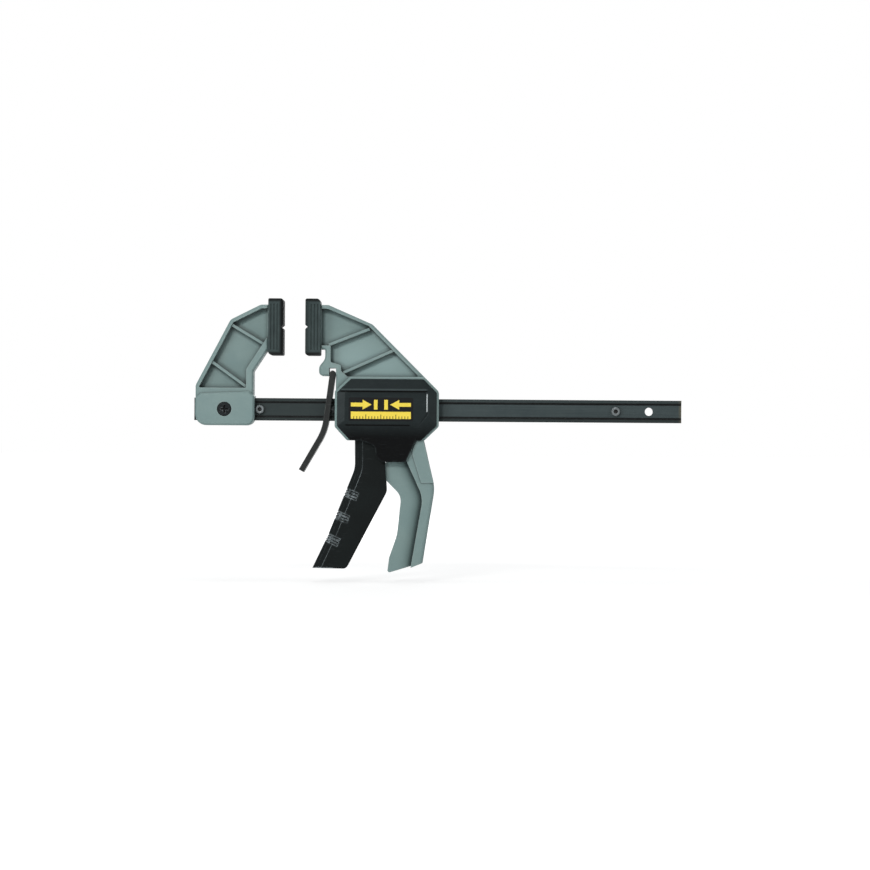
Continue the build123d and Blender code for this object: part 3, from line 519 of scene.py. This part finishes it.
leverLook = {
    "colour": tone(28, 30, 30), "patchColour": tone(22, 24, 24),
    "brushColour": tone(42, 44, 43), "brushAmount": 0.4,
    "hollowShadeColour": tone(8, 8, 8), "hollowShadeAmount": 0.6, "hollowReach": 0.004,
    "bareColour": tone(108, 110, 108), "cornerAmount": 0.5, "scratchAmount": 0.25,
    "metal": 0.15, "specular": 0.2, "roughness": (0.34, 0.5),
    "edgeRadius": 0.0008, "edgeReach": 0.0010, "brushing": (500.0, 500.0, 60.0), "patchScale": 60.0,
    "markScale": 95.0, "markAmount": 0.6, "bumpStrength": 0.3, "bumpDepth": 0.00006,
}
# what the small turned and bent parts have in common
smallSteel = {
    "brushAmount": 0.4, "hollowReach": 0.003, "roughness": (0.28, 0.42),
    "edgeRadius": 0.0003, "edgeReach": 0.0006, "brushing": (700.0, 700.0, 700.0), "patchScale": 150.0,
    "markScale": 160.0, "markAmount": 0.5, "bumpStrength": 0.2, "bumpDepth": 0.00003,
}
brightLook = {
    **smallSteel,
    "colour": tone(168, 170, 170), "patchColour": tone(150, 152, 153), "brushColour": tone(196, 198, 198),
    "hollowShadeColour": tone(30, 30, 30), "hollowShadeAmount": 0.8, "bareColour": tone(214, 215, 214),
    "cornerAmount": 0.5, "scratchAmount": 0.4, "metal": 1.0, "specular": 0.5,
    "roughness": (0.24, 0.38), "brushing": (900.0, 900.0, 900.0),
}
darkLook = {
    **smallSteel,
    "colour": tone(24, 28, 30), "patchColour": tone(19, 22, 24), "brushColour": tone(40, 44, 46),
    "hollowShadeColour": tone(6, 7, 7), "hollowShadeAmount": 0.9, "bareColour": tone(170, 174, 176),
    "cornerAmount": 0.7, "scratchAmount": 0.3, "metal": 0.2, "specular": 0.08,
}
pinLook = {
    **smallSteel,
    "colour": tone(104, 110, 112), "patchColour": tone(84, 90, 92), "brushColour": tone(130, 136, 138),
    # painted shade blackens the pin's bore
    "hollowShadeColour": tone(1, 1, 1), "hollowShadeAmount": 1.0, "hollowReach": 0.005,
    "bareColour": tone(200, 204, 204), "cornerAmount": 0.3, "scratchAmount": 0.3,
    "metal": 0.4, "specular": 0.3,
}
barSteel = steel("barSteel", barLook)
leverSteel = steel("leverSteel", leverLook)
brightSteel = steel("brightSteel", brightLook)
darkSteel = steel("darkSteel", darkLook)
pinSteel = steel("pinSteel", pinLook)
print("steels made")

inkLook = {
    "markScale": 130.0, "markAmount": 0.5, "grainScale": 2300.0, "patchScale": 90.0,
    "scratchWear": 0.5, "speckWear": 0.35, "roughness": (0.3, 0.7, 0.34, 0.46),
    "bumpStrength": 0.25, "bumpDepth": 0.00004, "darkSpecular": 0.12,
}


def ink(name, colour, wearAndHighlightColour, specular=None):
    made, tree, shader, vector = newMaterial(name)
    marks = marksOf(tree, vector, inkLook)
    grain = grainOf(tree, vector, inkLook)
    wearAndHighlight = maths(tree, "MAXIMUM", times(tree, marks["Scratches"], inkLook["scratchWear"]),
                 times(tree, grain["Specks"], inkLook["speckWear"]))
    feed(tree, shader.inputs["Base Color"], blendColour(tree, wearAndHighlight, colour, wearAndHighlightColour))
    feed(tree, shader.inputs["Roughness"], spread(tree, grain["Patches"], *inkLook["roughness"]))
    normal = addNode(tree, "ShaderNodeNewGeometry").outputs["Normal"]
    feed(tree, shader.inputs["Normal"], bump(tree, grain["Height"], normal, inkLook))
    if specular is not None:
        shader.inputs["Specular IOR Level"].default_value = specular
    return made


yellowInk = ink("yellowInk", tone(236, 208, 62), tone(150, 136, 60))
blackInk = ink("blackInk", tone(28, 28, 26), tone(80, 78, 60), inkLook["darkSpecular"])
blackFilm = ink("blackFilm", tone(10, 11, 13), tone(40, 42, 46), inkLook["darkSpecular"])
highlightPaint = ink("highlightPaint", tone(196, 202, 204), tone(120, 126, 128))

finishes = {
    "moving_jaw": moulding, "fixed_jaw": moulding,
    "front_cover": coverPlastic, "rear_cover": coverPlastic, "trigger": triggerPlastic,
    "fixed_jaw_pad": padRubber, "moving_jaw_pad": padRubber,
    "bar": barSteel, "brake_lever": leverSteel,
    "drive_plate_1": brightSteel, "drive_plate_2": brightSteel, "trigger_pin": brightSteel,
    "front_stop_pin": pinSteel, "rear_stop_pin": pinSteel,
    "jaw_screw": darkSteel, "jaw_washer": darkSteel, "jaw_nut": brightSteel,
    "drive_spring": brightSteel, "brake_spring_right": brightSteel, "brake_spring_left": brightSteel,
}


def dress(name, material):
    part = nodes[name]
    if not part.material_slots:
        part.data.materials.append(material)
    for place in part.material_slots:
        place.material = material


for name, material in finishes.items():
    dress(name, material)
print("finishes given")


def newPiece(name, mesh, material, body):
    mesh.normal_update()
    data = bpy.data.meshes.new(name)
    mesh.to_mesh(data)
    mesh.free()
    data.materials.append(material)
    piece = bpy.data.objects.new(name, data)
    bpy.context.scene.collection.objects.link(piece)
    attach(piece, body)
    return piece


springWire = {"sides": 10, "stepsPerTurn": 30, "closedTurns": 1.0}


def coil(node, name, wire, turns, material):
    # a compression spring along the bar, its end turns closed
    low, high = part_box(node)
    middle = (low + high) / 2
    radius = (high.y - low.y - wire) / 2
    closed = springWire["closedTurns"]
    openRun = high.x - low.x - wire - 2 * closed * wire
    mesh = bmesh.new()
    bmesh.ops.create_circle(mesh, cap_ends=False, radius=wire / 2, segments=springWire["sides"],
                            matrix=Matrix.Translation((low.x + wire / 2, middle.y + radius, middle.z)))
    current = list(mesh.verts) + list(mesh.edges)
    first = list(mesh.edges)
    for count, run in ((closed, closed * wire), (turns, openRun), (closed, closed * wire)):
        steps = round(count * springWire["stepsPerTurn"])
        spun = bmesh.ops.spin(mesh, geom=current, cent=(low.x, middle.y, middle.z), axis=(1, 0, 0),
                              dvec=(run / steps, 0, 0), angle=count * tau, steps=steps)
        current = spun["geom_last"]
    bmesh.ops.edgeloop_fill(mesh, edges=first)
    bmesh.ops.edgeloop_fill(mesh, edges=[e for e in current if isinstance(e, bmesh.types.BMEdge)])
    bmesh.ops.recalc_face_normals(mesh, faces=list(mesh.faces))
    for face in mesh.faces:
        face.smooth = len(face.verts) == 4
    piece = newPiece(name, mesh, material, "carriage")
    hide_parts(node)
    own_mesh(piece)


# wire and travel are millimetres
driveCoil = {"wire": 1.8, "turns": 5, "joint": "drive_plate_slide", "travel": 1.5}
brakeCoil = {"wire": 0.8, "turns": 3.5, "joint": "brake_release", "travel": 2.47}
for node, name, size, material, slotName in (
    ("drive_spring", "driveSpring", driveCoil, brightSteel, "bright_steel"),
    ("brake_spring_right", "rightBrakeSpring", brakeCoil, darkSteel, "dark_steel"),
    ("brake_spring_left", "leftBrakeSpring", brakeCoil, darkSteel, "dark_steel"),
):
    coil(node, name, size["wire"] * mm, size["turns"], material)
print("springs wound")

# millimetres on the shared axes; stop and arrow say how far a stop's sides and an arrow's tip, neck
# and tail lie from the label's middle
label = {
    "left": 53.0, "right": 99.6, "markTop": -56.4, "markFoot": -64.0, "barTop": -65.6, "barFoot": -71.2,
    "stop": (2.6, 5.4), "arrow": (7.2, 14.2, 23.3), "shaftHalf": 1.5,
    "margin": 1.7, "corner": 1.2, "cornerSteps": 5, "ground": 0.06, "panel": -19.1, "thickness": 0.12,
    "divisions": 20, "longEvery": 5, "tick": 0.5, "shortTick": 2.0, "longTick": 3.4,
}


def inkShape(mesh, corners, depth, thickness):
    # a flat shape on the cover's panel, given its thickness towards the camera's side
    points = [mesh.verts.new((x * mm, depth * mm, z * mm)) for x, z in corners]
    face = mesh.faces.new(points)
    lifted = bmesh.ops.extrude_face_region(mesh, geom=[face])
    moved = [v for v in lifted["geom"] if isinstance(v, bmesh.types.BMVert)]
    bmesh.ops.translate(mesh, verts=moved, vec=(0, -thickness * mm, 0))


def rectangle(left, right, foot, top):
    return [(left, foot), (right, foot), (right, top), (left, top)]


def labelGround():
    # the black film that the marks are printed on, its corners rounded
    mesh = bmesh.new()
    margin = label["margin"]
    corners = rectangle(label["left"] - margin, label["right"] + margin,
                        label["barFoot"] - margin, label["markTop"] + margin)
    inkShape(mesh, corners, label["panel"], label["ground"])
    upright = [e for e in mesh.edges if abs(e.verts[0].co.y - e.verts[1].co.y) > label["ground"] * mm / 2]
    bmesh.ops.bevel(mesh, geom=upright, offset=label["corner"] * mm, offset_type="OFFSET",
                    affect="EDGES", segments=label["cornerSteps"], profile=0.5, material=-1)
    bmesh.ops.recalc_face_normals(mesh, faces=list(mesh.faces))
    newPiece("labelGround", mesh, blackFilm, "carriage")


def labelMarks():
    # two arrows that close on a gap, over a plain bar
    face = label["panel"] - label["ground"]
    centre = (label["left"] + label["right"]) / 2
    middle = (label["markTop"] + label["markFoot"]) / 2
    low, high = label["markFoot"], label["markTop"]
    mesh = bmesh.new()
    half = label["shaftHalf"]
    for hand in (-1, 1):
        near, far = (centre + hand * place for place in label["stop"])
        tip, neck, tail = (centre + hand * place for place in label["arrow"])
        inkShape(mesh, rectangle(near, far, low, high), face, label["thickness"])
        inkShape(mesh, [(tip, middle), (neck, low), (neck, high)], face, label["thickness"])
        inkShape(mesh, rectangle(neck, tail, middle - half, middle + half), face, label["thickness"])
    bar = rectangle(label["left"], label["right"], label["barFoot"], label["barTop"])
    inkShape(mesh, bar, face, label["thickness"])
    bmesh.ops.recalc_face_normals(mesh, faces=list(mesh.faces))
    newPiece("labelMarks", mesh, yellowInk, "carriage")


def labelTicks():
    # the graduations along the foot of the bar, every fifth one longer
    face = label["panel"] - label["ground"] - label["thickness"]
    step = (label["right"] - label["left"]) / label["divisions"]
    mesh = bmesh.new()
    for number in range(1, label["divisions"]):
        x = label["left"] + number * step
        tall = label["longTick"] if number % label["longEvery"] == 0 else label["shortTick"]
        foot, half = label["barFoot"], label["tick"] / 2
        inkShape(mesh, rectangle(x - half, x + half, foot, foot + tall), face, label["thickness"] / 2)
    bmesh.ops.recalc_face_normals(mesh, faces=list(mesh.faces))
    newPiece("labelTicks", mesh, blackInk, "carriage")


# the strip is a painted highlight, not a part of the clamp
highlightStrip = {"x": 112.1, "width": 0.8, "top": -50.9, "foot": -65.6, "proud": 0.45, "round": 0.18, "roundSteps": 3}


def panelHighlightStrip():
    # a painted highlight: a bright strip along the end wall of the cover's sunk panel
    mesh = bmesh.new()
    bmesh.ops.create_cube(mesh, size=1.0)
    size = (highlightStrip["width"], 2 * highlightStrip["proud"], highlightStrip["top"] - highlightStrip["foot"])
    bmesh.ops.scale(mesh, verts=list(mesh.verts), vec=[v * mm for v in size])
    bmesh.ops.translate(mesh, verts=list(mesh.verts),
                        vec=(highlightStrip["x"] * mm, label["panel"] * mm, (highlightStrip["top"] + highlightStrip["foot"]) / 2 * mm))
    bmesh.ops.bevel(mesh, geom=list(mesh.edges), offset=highlightStrip["round"] * mm, offset_type="OFFSET",
                    affect="EDGES", segments=highlightStrip["roundSteps"], profile=0.5, material=-1)
    newPiece("panelHighlightStrip", mesh, highlightPaint, "carriage")


labelGround()
labelMarks()
labelTicks()
panelHighlightStrip()
print("label printed")


def seenPlain(tree):
    # 1 where the camera, a mirror or glass looks, and 0 for the light that falls on the clamp
    path = addNode(tree, "ShaderNodeLightPath").outputs
    seen = maths(tree, "MAXIMUM", path["Is Camera Ray"], path["Is Transmission Ray"])
    return maths(tree, "MAXIMUM", seen, path["Is Glossy Ray"])


# the floor glows white far away and less beside the clamp, where it keeps the soft shadow
studio = {
    "floorHeight": -0.1985, "floorSize": 30.0, "floorMiddle": (0.118, 0.0, -0.1985), "floorRoughness": 0.9,
    "floorGlow": (0.35, 0.90, 0.72, 1.0), "floorSeen": 0.38, "floorLit": (0.3, 0.7, 0.83, 0.87),
    "patchScale": 3.0,
    "worldStrength": 0.26, "worldColour": (0.94, 0.98, 1.0, 1),
}


def makeWorld():
    world = bpy.data.worlds.new("studio")
    bpy.context.scene.world = world
    world.use_nodes = True
    sky = world.node_tree
    sky.nodes.clear()
    plain = addNode(sky, "ShaderNodeBackground", {"Color": (1, 1, 1, 1), "Strength": 1.0})
    light = {"Color": studio["worldColour"], "Strength": studio["worldStrength"]}
    dim = addNode(sky, "ShaderNodeBackground", light)
    mixed = addNode(sky, "ShaderNodeMixShader", {0: seenPlain(sky), 1: dim.outputs[0], 2: plain.outputs[0]})
    addNode(sky, "ShaderNodeOutputWorld", {"Surface": mixed.outputs[0]})


def floorPaint():
    paint, tree, shader, vector = newMaterial("floorPaint")
    seen = seenPlain(tree)
    lit = spread(tree, cloud(tree, vector, studio["patchScale"]), *studio["floorLit"])
    shade = addNode(tree, "ShaderNodeMix", {0: seen, 2: lit, 3: studio["floorSeen"]}).outputs[0]
    grey = addNode(tree, "ShaderNodeCombineColor", {0: shade, 1: shade, 2: shade}).outputs[0]
    feed(tree, shader.inputs["Base Color"], grey)
    shader.inputs["Roughness"].default_value = studio["floorRoughness"]
    shader.inputs["Specular IOR Level"].default_value = 0.0
    shader.inputs["Emission Color"].default_value = (1, 1, 1, 1)
    away = addNode(tree, "ShaderNodeVectorMath", {0: vector, 1: studio["floorMiddle"]}, operation="DISTANCE")
    glow = spread(tree, away.outputs["Value"], *studio["floorGlow"])
    feed(tree, shader.inputs["Emission Strength"], times(tree, seen, glow))
    return paint


def makeFloor():
    mesh = bmesh.new()
    bmesh.ops.create_grid(mesh, x_segments=1, y_segments=1, size=studio["floorSize"] / 2)
    bmesh.ops.translate(mesh, verts=list(mesh.verts), vec=(0, 0, studio["floorHeight"]))
    data = bpy.data.meshes.new("floor")
    mesh.to_mesh(data)
    mesh.free()
    data.materials.append(floorPaint())
    floor = bpy.data.objects.new("floor", data)
    bpy.context.scene.collection.objects.link(floor)


lamps = {  # place, size, power in watts and colour
    "keyLamp": ((-0.45, -2.07, 0.76), 0.36, 20.0, (1.0, 0.99, 0.97)),
    "sideLamp": ((-1.24, -1.79, -0.05), 0.6, 13.5, (0.86, 0.98, 1.0)),
    "fillLamp": ((1.5, -1.4, 0.25), 1.2, 3.5, (0.97, 0.99, 1.0)),
    "topLamp": ((0.0, -0.15, 1.55), 0.8, 7.5, (1, 1, 1)),
    "backLamp": ((0.2, 1.9, 0.7), 1.2, 14.0, (1, 1, 1)),
}
lampTarget = Vector((0.118, 0, -0.07))


def lamp(name, place, size, power, colour):
    data = bpy.data.lights.new(name, "AREA")
    data.shape = "SQUARE"
    data.size = size
    data.energy = power
    data.color = colour
    made = bpy.data.objects.new(name, data)
    bpy.context.scene.collection.objects.link(made)
    made.location = place
    made.rotation_euler = (lampTarget - Vector(place)).to_track_quat("-Z", "Y").to_euler()


makeWorld()
makeFloor()
for name, settings in lamps.items():
    lamp(name, *settings)
print("studio lit")

# width is what the camera takes in at the clamp, and roll is in degrees
lens = {
    "distance": 2.5, "width": 0.6797, "centre": (0.1184, -0.0834), "roll": 0.38,
    "sensor": 36.0, "farEnd": 60.0,
}


def makeCamera():
    camera = bpy.data.objects.new("camera", bpy.data.cameras.new("camera"))
    bpy.context.scene.collection.objects.link(camera)
    camera.data.sensor_width = lens["sensor"]
    camera.data.lens = lens["sensor"] * lens["distance"] / lens["width"]
    camera.data.clip_end = lens["farEnd"]
    camera.location = (lens["centre"][0], -lens["distance"], lens["centre"][1])
    level = Matrix.Rotation(pi / 2, 3, "X")
    camera.rotation_euler = (level @ Matrix.Rotation(radians(lens["roll"]), 3, "Z")).to_euler()
    bpy.context.scene.camera = camera


makeCamera()
bpy.context.scene.view_settings.view_transform = "Standard"

print("scene ready")
